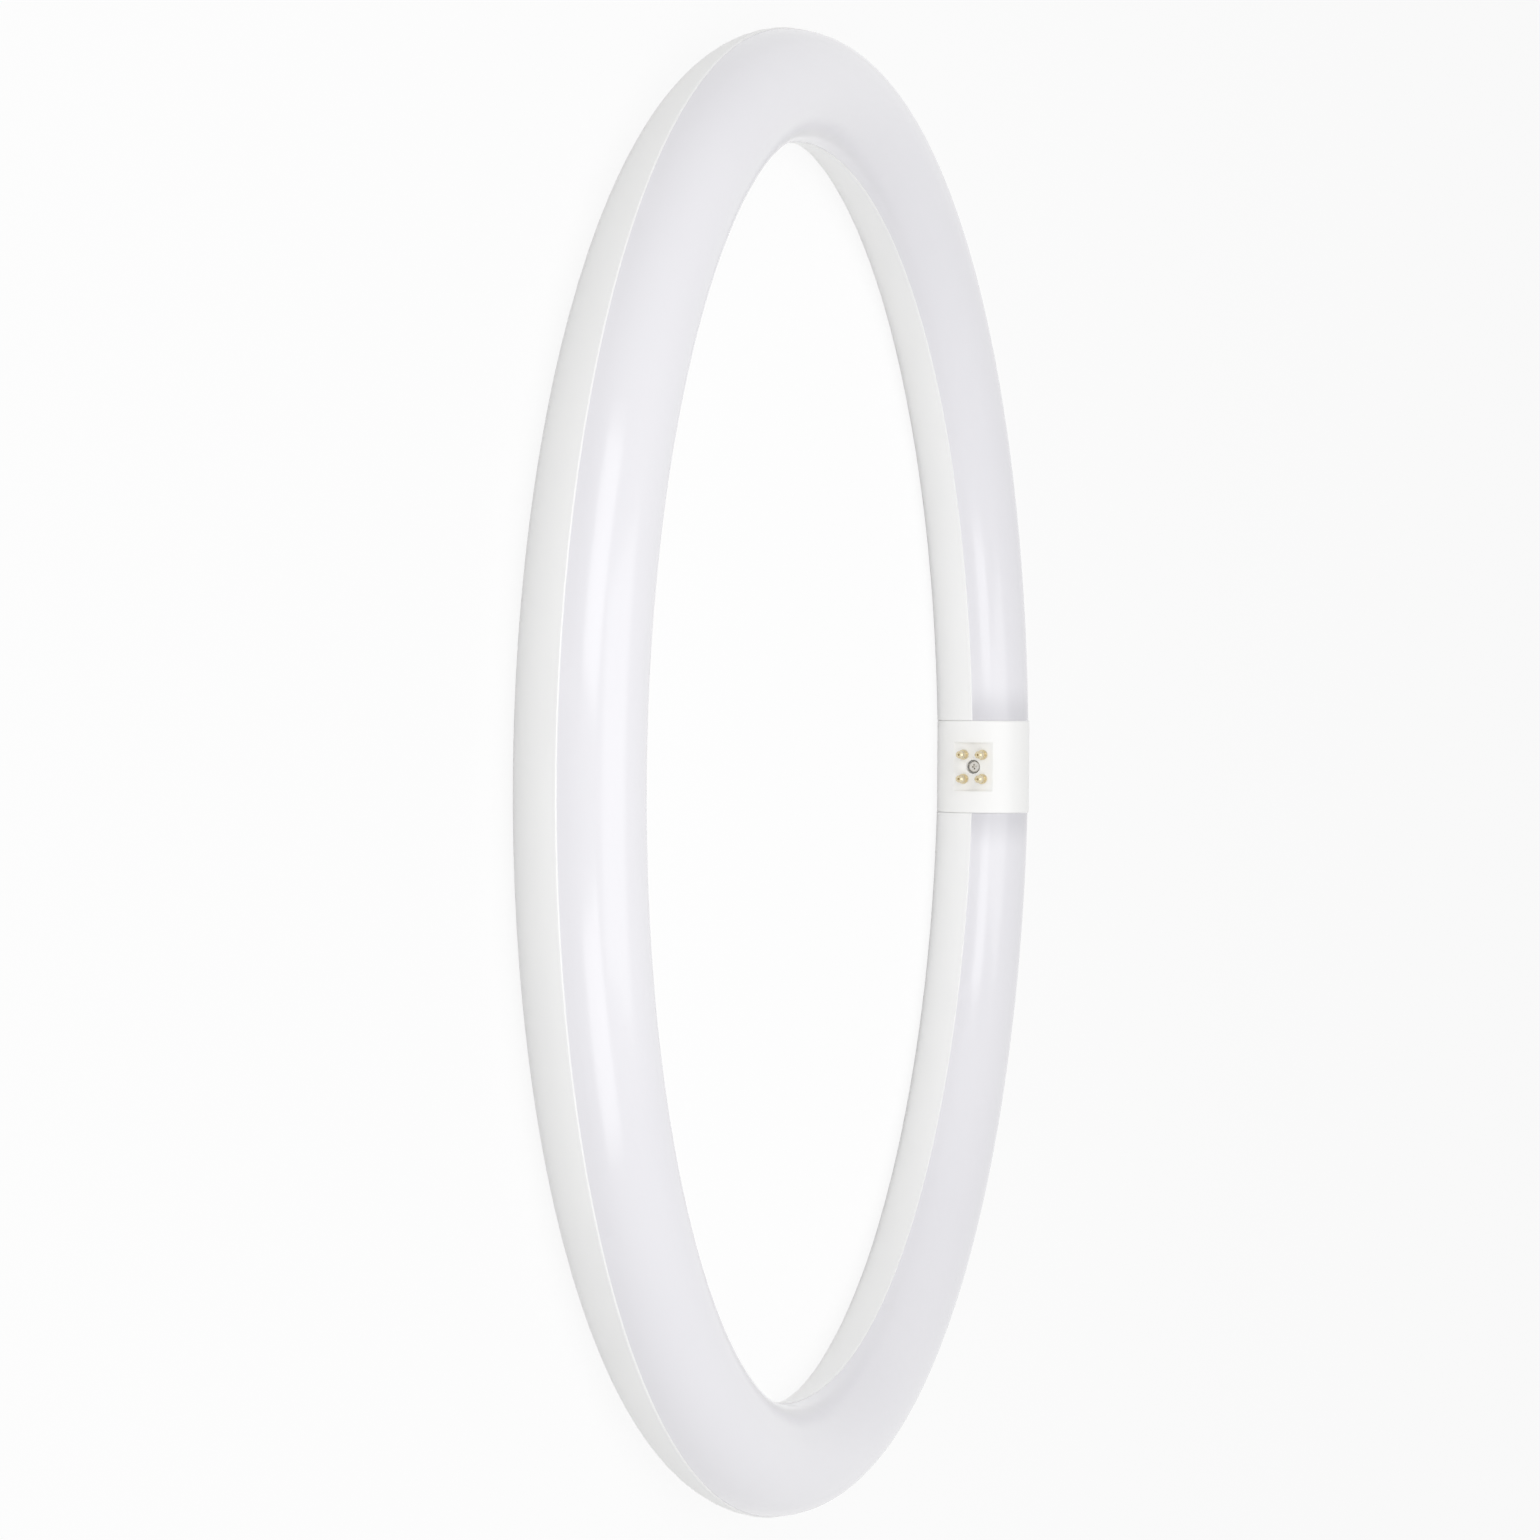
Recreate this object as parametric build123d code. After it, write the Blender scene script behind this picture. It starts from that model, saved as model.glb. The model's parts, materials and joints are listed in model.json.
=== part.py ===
from build123d import *
import math
import os

os.makedirs("parts", exist_ok=True)

# Circular LED tube with a four-pin base.
# The ring lies flat: its axis is Z, the housing half is down and the diffuser half is up.
# The base cap sits at minus X, and its pins point inwards, along plus X.
# All sizes are in millimetres and all angles in degrees.

# The ring and its round section
ring_outside_diameter = 406.0
tube_diameter = 30.4

# Rear housing, an opaque half shell
housing_wall = 1.6
channel_sides = 12
lip_thickness = 1.2
lip_edge_break = 0.25
ledge_drop = 2.3
ledge_thickness = 1.5
ledge_bearing = 1.8

# Diffuser, an opal half shell that stands on the housing's lips
diffuser_wall = 1.2
diffuser_step = 0.35
skirt_thickness = 1.1
skirt_foot_gap = 0.2
skirt_slip = 0.15
skirt_corner_height = 1.6

# The necks at the two ends of the shells, which the base cap holds
end_wall_length = 2.0
neck_wall = 1.8
neck_slip = 0.2
neck_reach = 5.8
groove_depth = 0.8
groove_width = 1.8
groove_offset = 2.2
rib_slip = 0.15

# Base cap
base_length = 30.5
base_wall = 1.6
base_edge_break = 0.35
pad_length = 16.0
pad_depth = 1.5
pad_plate = 2.2
pad_end_wall = 1.1

# Contact pins, on the standard rectangle of a four-pin ring lamp base
pin_pitch_along = 7.92
pin_pitch_across = 6.35
pin_diameter = 2.36
pin_length = 6.6
pin_tip_break = 0.55
pin_bore_diameter = 0.8
pin_bore_depth = 2.0
collar_diameter = 3.3
collar_height = 1.1
pin_slip = 0.08
pin_boss_wall = 1.0
pin_boss_length = 2.6
pin_tail = 1.5

# Clamp screw of the base
screw_head_diameter = 3.8
screw_head_height = 1.5
screw_head_gap = 0.4
screw_sink = 3.0
screw_shank_diameter = 2.5
screw_slip = 0.3
screw_grip = 10.0
screw_boss_wall = 1.5
screw_boss_floor = 2.2
cross_width = 0.55
cross_length = 2.3
cross_depth = 0.9
thread_slip = 0.1
post_diameter = 7.0
post_rib_thickness = 1.2
post_rib_depth = 5.0
post_rib_gap = 0.6

# LED boards and what sits on them
board_count = 4
board_thickness = 1.0
board_edge_gap = 0.35
board_end_gap = 0.5
chips_per_board = 30
chip_along = 2.8
chip_across = 3.5
chip_height = 0.7
connector_along = 8.0
connector_across = 4.5
connector_height = 2.2
connector_offset = 6.5
connector_opening = 1.2

# Screws of the LED boards, one in each board, in the gap after this many chips
board_screw_gap = 15
board_screw_head_diameter = 4.4
board_screw_head_height = 1.5
board_screw_shank_diameter = 2.2
board_screw_length = 6.0
pilot_spare = 0.8
board_screw_hole_slip = 0.4
board_boss_diameter = 6.0

# Driver board and its screws
driver_width = 13.0
driver_thickness = 1.6
driver_wall_gap = 0.2
driver_start_gap = 8.9
driver_post_diameter = 4.4
driver_screw_head_diameter = 3.6
driver_screw_head_height = 1.3
driver_screw_shank_diameter = 1.9
driver_screw_length = 3.6
driver_screw_inset = 6.5
driver_row_inset = 9.3
driver_part_headroom = 0.6

# Driver parts, which stand in a row along the board, each length along it
capacitor_length = 12.0
capacitor_rest_gap = 0.05
capacitor_crimp = 0.35
capacitor_crimp_width = 0.8
capacitor_crimp_place = 2.2
part_leg_diameter = 0.6
part_leg_reach = 1.0
capacitor_leg_reach = 1.4
axial_part_lift = 0.6
varistor_lift = 1.0
film_length = 9.0
film_width = 4.4
film_edge_break = 0.4
rectifier_length = 4.7
rectifier_width = 3.9
rectifier_height = 2.4
rectifier_foot_length = 1.0
rectifier_foot_width = 0.8
rectifier_foot_thickness = 0.3
chip_package_length = 4.9
chip_package_width = 3.9
chip_package_height = 1.5
chip_foot_length = 0.9
chip_foot_thickness = 0.25
package_edge_break = 0.25
fuse_length = 6.5
fuse_diameter = 2.4
varistor_thickness = 2.5
coil_core_length = 7.0
coil_flange_diameter = 4.0
coil_winding_diameter = 3.2
coil_flange_thickness = 0.8
inductor_diameter = 9.0
inductor_winding_diameter = 7.6
inductor_flange_thickness = 1.0
part_gap = 1.8
side_margin = 0.6

# Leads
lead_diameter = 1.3
lead_pitch = 2.6
lead_pad_inset = 2.4
lead_gap = 0.5
led_lead_pitch = 3.0
led_slot_along = 3.0
led_slot_gap = 3.2
led_pad_offset = 4.2
pin_lead_reach = 3.0

# Order of the pin leads across the driver board, counted from the ring's middle outwards
bundle_order = (0, 2, 3, 1)

# Worked out from the driving dimensions
tube_radius = tube_diameter / 2
ring_radius = ring_outside_diameter / 2 - tube_radius
housing_bore = tube_radius - housing_wall
lip_inside = tube_radius - lip_thickness
diffuser_radius = tube_radius - diffuser_step
skirt_outside = lip_inside - skirt_slip
skirt_inside = skirt_outside - skirt_thickness
board_half_width = skirt_inside - board_edge_gap
board_underside = -ledge_drop
board_top = board_underside + board_thickness
neck_radius = tube_radius - base_wall - neck_slip
neck_bore = neck_radius - neck_wall
base_bore = tube_radius - base_wall
base_half = base_length / 2
neck_end = base_half - neck_reach
end_wall_end = base_half + end_wall_length
cap_shift = (ring_radius - math.sqrt(ring_radius**2 - base_half**2)) / 2
cap_axis = ring_radius - cap_shift
pad_plane = tube_radius - pad_depth
plate_inside = pad_plane - pad_plate
screw_seat = pad_plane - screw_sink
boss_end = screw_seat - screw_boss_floor


def turn_of(along):
    """Ring angle from the middle of the base for a length along the tube's centre line."""
    return math.degrees(along / ring_radius)


def turn_past(end, inside):
    """Ring angle at which a piece that reaches this far inside is past a flat end of the base."""
    return math.degrees(math.asin(end / (ring_radius - inside)))


def along_of(turn):
    """Length along the tube's centre line for a ring angle from the middle of the base."""
    return math.radians(turn) * ring_radius


def ring_point(along, outward, height):
    """A point by its place along the tube, outward from the tube's centre, and above it."""
    turn = along / ring_radius
    reach = ring_radius + outward
    return Vector(-reach * math.cos(turn), -reach * math.sin(turn), height)


def cap_point(inward, y, z):
    """A point in the base cap, by its distance inward from the cap's straight axis."""
    return Vector(-cap_axis + inward, y, z)


def ring_frame(along, outward, height):
    """A frame on the ring: x runs along the tube, y points to the ring's middle, z is up."""
    turn = along / ring_radius
    forward = (math.sin(turn), -math.cos(turn), 0)
    return Plane(ring_point(along, outward, height), x_dir=forward, z_dir=(0, 0, 1))


def sweep_round(section, start_turn, end_turn):
    """Turn a section, drawn about the tube's centre, round the ring between two angles."""
    placed = Plane.XZ * (Pos(ring_radius, 0) * section)
    solid = revolve(placed, axis=Axis.Z, revolution_arc=end_turn - start_turn)
    return Rot(0, 0, 180 + start_turn) * solid


def base_block(half_length):
    """A block with flat ends, square to the base, that holds the tube's ends."""
    return Pos(-cap_axis, 0, 0) * Box(4 * tube_radius, 2 * half_length, 4 * tube_radius)


def along_cap(radius, start, end):
    """Cylinder on the base cap's straight axis, between two distances from its middle."""
    frame = Plane(cap_point(0, start, 0), z_dir=(0, 1, 0))
    return frame * Cylinder(radius, end - start, align=(Align.CENTER, Align.CENTER, Align.MIN))


def with_both_ends(shape):
    """The shape and its mirror image on the other side of the base."""
    return shape + mirror(shape, about=Plane.XZ)


def half_ring(radius, bore, side):
    """Half of the tube's wall, above the split plane for plus and below it for minus."""
    half = Pos(0, side * radius / 2) * Rectangle(2 * radius, radius)
    return (Circle(radius) & half) - RegularPolygon(bore, channel_sides, rotation=180 / channel_sides)


def inward_cylinder(radius, start, end, y=0.0, z=0.0):
    """Cylinder across the base cap, between two distances inward from the cap's axis."""
    frame = Plane(cap_point(start, y, z), z_dir=(1, 0, 0))
    return frame * Cylinder(radius, end - start, align=(Align.CENTER, Align.CENTER, Align.MIN))


def standing(radius, bottom, top):
    """Upright cylinder between two heights."""
    return Pos(0, 0, bottom) * Cylinder(radius, top - bottom, align=(Align.CENTER, Align.CENTER, Align.MIN))


def standing_box(length, width, height):
    """Box that stands on the plane it is placed on."""
    return Box(length, width, height, align=(Align.CENTER, Align.CENTER, Align.MIN))


def tube_along(points, radii, diameter):
    """Round wire along straight runs joined by tangent arcs, one radius for each corner."""
    path = FilletPolyline(*points, radius=radii)
    start = Plane(origin=path @ 0, z_dir=path % 0)
    return sweep(start * Circle(diameter / 2), path=path)


# Places of the LED boards, their chips and their screws, as ring angles
board_start = turn_past(end_wall_end + board_end_gap, board_half_width)
joint_turn = turn_of(board_end_gap)
board_turn = (360 - 2 * board_start - (board_count - 1) * joint_turn) / board_count
chip_pitch = board_turn / chips_per_board
chip_pitch_along = along_of(chip_pitch)


def board_begin(number):
    """Ring angle at which one of the LED boards begins."""
    return board_start + number * (board_turn + joint_turn)


def board_screw_frame(number, height):
    """Frame at the screw of one of the LED boards."""
    return ring_frame(along_of(board_begin(number) + board_screw_gap * chip_pitch), 0, height)


# Places of the driver parts along the board, one after the other
fuse_span = fuse_length + 2 * part_leg_reach
capacitor_span = capacitor_length + capacitor_leg_reach
row_lengths = (fuse_span, rectifier_length, film_length, capacitor_span, inductor_diameter)
driver_length = 2 * driver_row_inset + sum(row_lengths) + (len(row_lengths) - 1) * part_gap


def row_place(number):
    """Middle of one part of the row, from the middle of the driver board."""
    before = sum(row_lengths[:number]) + number * part_gap
    return driver_row_inset - driver_length / 2 + before + row_lengths[number] / 2


# Place of the driver board, in the housing's channel under the first LED board
driver_start = end_wall_end + driver_start_gap
driver_middle = driver_start + driver_length / 2
driver_bow = ring_radius - math.sqrt(ring_radius**2 - (driver_length / 2) ** 2)
driver_shift = -driver_bow / 2
driver_reach = driver_width / 2 + driver_bow / 2
side_tilt = 2 * math.pi / channel_sides
channel_flat = housing_bore * math.cos(side_tilt / 2)
driver_room = (channel_flat - driver_reach * math.sin(side_tilt)) / math.cos(side_tilt)
driver_underside = -driver_room + driver_wall_gap
driver_top = driver_underside + driver_thickness
part_height = board_underside - driver_top - driver_part_headroom
driver_screw_place = driver_length / 2 - driver_screw_inset

# The slot for the LED leads is in the first gap between chips past the driver board
slot_gap_number = math.ceil((driver_start + driver_length + led_slot_gap
                             - along_of(board_start)) / chip_pitch_along)
slot_turn = board_start + slot_gap_number * chip_pitch
slot_across = led_lead_pitch + led_pad_offset


def driver_frame(height):
    """Frame at the middle of the driver board."""
    return ring_frame(driver_middle, driver_shift, height)


def make_housing_section():
    """Half ring with lips, and two ledges that carry the LED boards."""
    wall = half_ring(tube_radius, housing_bore, -1)
    ledge_inside = board_half_width - ledge_bearing
    band_depth = ledge_drop + ledge_thickness
    band = Rectangle(2 * tube_radius, band_depth, align=(Align.CENTER, Align.MAX))
    middle = Rectangle(2 * ledge_inside, 4 * tube_radius)
    ledges = (Circle(tube_radius - housing_wall / 2) & band) - middle
    room = Rectangle(2 * lip_inside, ledge_drop, align=(Align.CENTER, Align.MAX))
    section = wall + ledges - room
    corners = section.vertices().filter_by(lambda v: abs(v.X) > tube_radius - lip_thickness / 2)
    return chamfer(corners, lip_edge_break)


def make_neck_end(end_radius, side):
    """End wall and grooved neck of one shell, above the split plane for plus, below for minus."""
    groove_start = neck_end + groove_offset
    groove_end = groove_start + groove_width
    end = along_cap(end_radius, base_half, end_wall_end) + along_cap(neck_radius, neck_end, base_half)
    end = end - along_cap(neck_bore, neck_end - 1, end_wall_end + 1)
    end = end - (along_cap(tube_radius, groove_start, groove_end)
                 - along_cap(neck_radius - groove_depth, groove_start, groove_end))
    size = 4 * tube_radius
    return end & Pos(-cap_axis, 0, side * size / 2) * Box(size, size, size)


def make_rear_housing():
    """Opaque half shell with board bosses, driver posts and the two lower half necks."""
    cut_turn = turn_of(base_half - 1)
    shell = sweep_round(make_housing_section(), cut_turn, 360 - cut_turn)
    shell = shell - base_block(base_half)
    shell = shell + with_both_ends(make_neck_end(tube_radius - lip_thickness / 2, -1))
    wall_middle = -(tube_radius - housing_wall / 2)
    pilot_radius = board_screw_shank_diameter / 2 + thread_slip
    pilot_end = board_top - board_screw_length - pilot_spare
    for number in range(board_count):
        place = board_screw_frame(number, 0)
        boss = standing(board_boss_diameter / 2, wall_middle, board_underside)
        pilot = standing(pilot_radius, pilot_end, board_underside)
        shell = shell + place * boss - place * pilot
    pilot_radius = driver_screw_shank_diameter / 2 + thread_slip
    pilot_end = driver_top - driver_screw_length - pilot_spare / 2
    for side in (-1, 1):
        place = driver_frame(0) * Pos(side * driver_screw_place, 0, 0)
        post = standing(driver_post_diameter / 2, wall_middle, driver_underside)
        pilot = standing(pilot_radius, pilot_end, driver_underside)
        shell = shell + place * post - place * pilot
    return shell


def make_diffuser_section():
    """Half ring with two skirts that reach down inside the housing's lips."""
    wall = half_ring(diffuser_radius, diffuser_radius - diffuser_wall, 1)
    corner = Rectangle(2 * skirt_outside, skirt_corner_height, align=(Align.CENTER, Align.MIN))
    corner = corner & Circle(diffuser_radius - diffuser_wall / 2)
    skirt_depth = ledge_drop - skirt_foot_gap
    skirt = Rectangle(2 * skirt_outside, skirt_depth, align=(Align.CENTER, Align.MAX))
    middle = Rectangle(2 * skirt_inside, 4 * tube_radius)
    return wall + ((corner + skirt) - middle)


def make_diffuser():
    """Opal half shell with the two upper half necks."""
    cut_turn = turn_of(base_half - 1)
    crown = half_ring(diffuser_radius, diffuser_radius - diffuser_wall, 1)
    shell = sweep_round(crown, cut_turn, 360 - cut_turn) - base_block(base_half)
    shell = shell + with_both_ends(make_neck_end(diffuser_radius - diffuser_wall / 2, 1))
    skirt_turn = turn_past(end_wall_end + board_end_gap / 2, skirt_outside)
    return shell + sweep_round(make_diffuser_section(), skirt_turn, 360 - skirt_turn)


def make_base_cap():
    """The whole cap as one shell: round outside, with ribs that sit in the necks' grooves."""
    outside = along_cap(tube_radius, -base_half, base_half)
    outside = chamfer(outside.edges().filter_by(GeomType.CIRCLE), base_edge_break)
    rib_start = neck_end + groove_offset + rib_slip
    rib_end = rib_start + groove_width - 2 * rib_slip
    rib = along_cap(base_bore + base_wall / 2, rib_start, rib_end)
    rib = rib - along_cap(neck_radius - groove_depth + rib_slip, rib_start, rib_end)
    return outside - along_cap(base_bore, -base_half, base_half) + with_both_ends(rib)


def half_space(side):
    """Block that holds one side of the base's split plane, inner for plus, outer for minus."""
    size = 4 * tube_radius
    return Pos(-cap_axis + side * size / 2, 0, 0) * Box(size, size, size)


def pin_places():
    """The four pin positions on the pad."""
    halves = (pin_pitch_along / 2, pin_pitch_across / 2)
    return [(y * halves[0], z * halves[1]) for y, z in ((-1, 1), (1, 1), (1, -1), (-1, -1))]


def make_base_inner_shell(cap):
    """Pin side of the cap: pad, pin bosses, and the sunk seat of the clamp screw."""
    shell = cap & half_space(1)
    plate_half = pad_length / 2 + pad_end_wall
    bar = Pos(-cap_axis + (plate_inside + tube_radius) / 2, 0, 0) * Box(
        tube_radius - plate_inside, 2 * plate_half, 2 * tube_radius)
    shell = shell + (along_cap(tube_radius, -plate_half, plate_half) & bar)
    shell = shell + inward_cylinder(screw_head_diameter / 2 + screw_head_gap + screw_boss_wall,
                                    boss_end, pad_plane)
    boss_radius = pin_diameter / 2 + pin_slip + pin_boss_wall
    for y, z in pin_places():
        shell = shell + inward_cylinder(boss_radius, plate_inside - pin_boss_length, pad_plane, y, z)
    recess = Pos(-cap_axis + pad_plane + tube_radius, 0, 0) * Box(
        2 * tube_radius, pad_length, 2 * tube_radius)
    shell = shell - recess
    shell = shell - inward_cylinder(screw_head_diameter / 2 + screw_head_gap, screw_seat, tube_radius)
    shell = shell - inward_cylinder((screw_shank_diameter + screw_slip) / 2, boss_end - 1, tube_radius)
    for y, z in pin_places():
        hole_start = plate_inside - pin_boss_length - 1
        shell = shell - inward_cylinder(pin_diameter / 2 + pin_slip, hole_start, tube_radius, y, z)
    return shell


def make_base_outer_shell(cap):
    """Outer side of the cap, with the ribbed post that the clamp screw bites into."""
    shell = cap & half_space(-1)
    post = inward_cylinder(post_diameter / 2, -(base_bore + base_wall / 2), boss_end)
    rib_length = 2 * (neck_end - post_rib_gap)
    rib_start = base_bore + base_wall / 2
    rib_place = Pos(-cap_axis - rib_start + post_rib_depth / 2, 0, 0)
    ribs = rib_place * Box(post_rib_depth, rib_length, post_rib_thickness)
    ribs = ribs + rib_place * Box(post_rib_depth, post_rib_thickness, rib_length)
    ribs = ribs & along_cap(base_bore + base_wall / 2, -base_half, base_half)
    pilot_depth = screw_grip + 1
    pilot = inward_cylinder(screw_shank_diameter / 2 + thread_slip, boss_end - pilot_depth, boss_end)
    return shell + post + ribs - pilot


def make_base_screw():
    """Cross-head screw that draws the two base shells together."""
    head_top = screw_seat + screw_head_height
    head = inward_cylinder(screw_head_diameter / 2, screw_seat, head_top)
    head = chamfer(head.edges().sort_by(Axis.X)[-1], screw_head_height / 3)
    shank = inward_cylinder(screw_shank_diameter / 2, boss_end - screw_grip, screw_seat)
    shank = chamfer(shank.edges().sort_by(Axis.X)[0], screw_shank_diameter / 4)
    slot_place = Pos(-cap_axis + head_top - cross_depth / 2, 0, 0)
    cross = slot_place * Box(cross_depth, cross_length, cross_width)
    cross = cross + slot_place * Box(cross_depth, cross_width, cross_length)
    return head + shank - cross


def make_contact_pin(y, z):
    """Brass pin with a collar on the pad, a blunt tip, and a bore for the lead's end."""
    tail_end = plate_inside - pin_boss_length - pin_tail
    tip = pad_plane + pin_length
    pin = inward_cylinder(pin_diameter / 2, tail_end, tip, y, z)
    pin = chamfer(pin.edges().sort_by(Axis.X)[-1], pin_tip_break)
    collar = inward_cylinder(collar_diameter / 2, pad_plane, pad_plane + collar_height, y, z)
    bore = inward_cylinder(pin_bore_diameter / 2, tip - pin_bore_depth, tip + 1, y, z)
    return pin + collar - bore


def make_led_board(number):
    """Metal-core arc that lies on the ledges, with its screw holes."""
    section = Pos(0, board_underside) * Rectangle(
        2 * board_half_width, board_thickness, align=(Align.CENTER, Align.MIN))
    begin = board_begin(number)
    board = sweep_round(section, begin, begin + board_turn)
    hole_radius = board_screw_shank_diameter / 2 + board_screw_hole_slip
    hole = standing(hole_radius, board_underside - 1, board_top + 1)
    board = board - board_screw_frame(number, 0) * hole
    if number == 0:
        slot = Box(led_slot_along, slot_across, 4 * board_thickness)
        board = board - ring_frame(along_of(slot_turn), 0, board_underside) * slot
    return board


def make_led_chips():
    """All LED packages, evenly spaced along each board."""
    package = standing_box(chip_along, chip_across, chip_height)
    chips = []
    for number in range(board_count):
        for place in range(chips_per_board):
            turn = board_begin(number) + (place + 0.5) * chip_pitch
            chips.append(ring_frame(along_of(turn), 0, board_top) * package)
    return Compound(children=chips)


def make_board_connectors():
    """Bridges over the joints between the LED boards, open at both ends for their contacts."""
    block = standing_box(connector_along, connector_across, connector_height)
    block = chamfer(block.faces().sort_by(Axis.Z)[-1].edges(), connector_height / 6)
    window = Box(connector_along / 4, connector_across / 2, connector_opening)
    for side in (-1, 1):
        block = block - Pos(side * connector_along / 2, 0, connector_height / 2) * window
    bridges = []
    for number in range(1, board_count):
        middle = board_begin(number) - joint_turn / 2
        bridges.append(ring_frame(along_of(middle), connector_offset, board_top) * block)
    return Compound(children=bridges)


def make_pan_screw(head_diameter, head_height, shank_diameter, length):
    """Pan-head screw with a slot, its head standing on the plane it is placed on."""
    head = standing(head_diameter / 2, 0, head_height)
    head = chamfer(head.edges().sort_by(Axis.Z)[-1], head_height / 3)
    slot = Pos(0, 0, head_height) * Box(head_diameter, cross_width, head_height)
    return head + standing(shank_diameter / 2, -length, 0) - slot


def make_board_screws():
    """The screws that hold the LED boards to the housing's bosses."""
    screw = make_pan_screw(board_screw_head_diameter, board_screw_head_height,
                           board_screw_shank_diameter, board_screw_length)
    return Compound(children=[board_screw_frame(number, board_top) * screw
                              for number in range(board_count)])


def make_driver_board():
    """Circuit board of the driver, on its two posts."""
    board = driver_frame(driver_underside) * standing_box(driver_length, driver_width, driver_thickness)
    hole_radius = driver_screw_shank_diameter / 2 + screw_slip / 2
    for side in (-1, 1):
        place = driver_frame(0) * Pos(side * driver_screw_place, 0, 0)
        board = board - place * standing(hole_radius, driver_underside - 1, driver_top + 1)
    return board


def make_driver_screws():
    """The two screws of the driver board."""
    screw = make_pan_screw(driver_screw_head_diameter, driver_screw_head_height,
                           driver_screw_shank_diameter, driver_screw_length)
    places = [driver_frame(driver_top) * Pos(side * driver_screw_place, 0, 0) for side in (-1, 1)]
    return Compound(children=[place * screw for place in places])


def lying(radius, length):
    """Cylinder that lies along the driver board, its middle at the origin."""
    return Rot(0, 90, 0) * Cylinder(radius, length)


def leg(x, y, top):
    """Solder leg that stands on the board."""
    return Pos(x, y, 0) * standing(part_leg_diameter / 2, 0, top)


def make_bulk_capacitor():
    """Electrolytic can that lies on the board, its two legs bent down to it."""
    radius = (part_height - capacitor_rest_gap) / 2
    axis = capacitor_rest_gap + radius
    can = lying(radius, capacitor_length)
    can = chamfer(can.edges().filter_by(GeomType.CIRCLE), capacitor_crimp)
    can = Pos(0, 0, axis) * can
    crimp = lying(radius + 1, capacitor_crimp_width)
    crimp = crimp - lying(radius - capacitor_crimp, capacitor_crimp_width)
    can = can - Pos(capacitor_length / 2 - capacitor_crimp_place, 0, axis) * crimp
    leg_x = capacitor_length / 2 + capacitor_leg_reach - part_leg_diameter / 2
    for side in (-1, 1):
        y = side * radius / 2
        run = Pos(leg_x / 2, y, axis) * lying(part_leg_diameter / 2, leg_x + part_leg_diameter / 2)
        can = can + run + leg(leg_x, y, axis)
    return Pos(-capacitor_leg_reach / 2, 0, 0) * can


def make_film_capacitor():
    """Box-shaped film capacitor."""
    case = standing_box(film_length, film_width, part_height)
    return chamfer(case.edges().filter_by(Axis.Z), film_edge_break)


def make_bridge_rectifier():
    """Four-legged rectifier package."""
    body = standing_box(rectifier_length, rectifier_width, rectifier_height)
    body = chamfer(body.faces().sort_by(Axis.Z)[-1].edges(), package_edge_break)
    for x in (-1, 1):
        for y in (-1, 1):
            foot = standing_box(rectifier_foot_width, rectifier_foot_length, rectifier_foot_thickness)
            place = Pos(x * rectifier_length / 4, y * rectifier_width / 2, 0)
            body = body + place * foot
    return body


def make_driver_chip():
    """Eight-legged control chip."""
    body = standing_box(chip_package_length, chip_package_width, chip_package_height)
    body = chamfer(body.faces().sort_by(Axis.Z)[-1].edges(), package_edge_break)
    pitch = chip_package_length / 4
    for number in range(4):
        x = (number - 1.5) * pitch
        for side in (-1, 1):
            foot = standing_box(pitch / 3, chip_foot_length, chip_foot_thickness)
            body = body + Pos(x, side * chip_package_width / 2, 0) * foot
    return body


def make_axial_part(radius, length, ends):
    """Body with wire legs at both ends that stand on the board."""
    axis = radius + axial_part_lift
    part = Pos(0, 0, axis) * lying(radius, length)
    if ends > 0:
        part = chamfer(part.edges().filter_by(GeomType.CIRCLE), ends)
    part = part + Pos(0, 0, axis) * lying(part_leg_diameter / 2, length + 2 * part_leg_reach)
    for side in (-1, 1):
        part = part + leg(side * (length / 2 + part_leg_reach - part_leg_diameter / 2), 0, axis)
    return part


def make_fuse():
    """Fuse with tapered ends."""
    return make_axial_part(fuse_diameter / 2, fuse_length, fuse_diameter / 5)


def make_filter_coil():
    """Small wound rod core between two flanges."""
    coil = make_axial_part(coil_flange_diameter / 2, coil_core_length, 0)
    waist = coil_core_length - 2 * coil_flange_thickness
    winding = lying(coil_flange_diameter, waist) - lying(coil_winding_diameter / 2, waist)
    return coil - Pos(0, 0, coil_flange_diameter / 2 + axial_part_lift) * winding


def make_varistor():
    """Disc that stands on two legs."""
    radius = (part_height - varistor_lift) / 2
    disc = Rot(90, 0, 0) * Cylinder(radius, varistor_thickness)
    disc = chamfer(disc.edges().filter_by(GeomType.CIRCLE), varistor_thickness / 4)
    part = Pos(0, 0, varistor_lift + radius) * disc
    for side in (-1, 1):
        part = part + leg(side * radius / 2, 0, varistor_lift + radius)
    return part


def make_power_inductor():
    """Wound drum core between two flanges."""
    drum = standing(inductor_diameter / 2, 0, part_height)
    waist = part_height - 2 * inductor_flange_thickness
    winding = standing(inductor_diameter, 0, waist) - standing(inductor_winding_diameter / 2, 0, waist)
    return drum - Pos(0, 0, inductor_flange_thickness) * winding


def on_driver(part, row, y):
    """Place a part on the driver board, by its number in the row and its distance across."""
    return driver_frame(driver_top) * Pos(row_place(row), y, 0) * part


def beside_edge(width, side):
    """Distance across the driver board at which a part of this width keeps to one edge."""
    return side * (driver_width / 2 - side_margin - width / 2)


def arc_radii(points):
    """The largest radius that each corner of a lead's route allows."""
    radii = []
    for before, corner, after in zip(points, points[1:], points[2:]):
        turn = (corner - before).get_angle(after - corner)
        run = min((corner - before).length, (after - corner).length)
        radii.append(0.45 * run / math.tan(math.radians(turn) / 2))
    return radii


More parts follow.
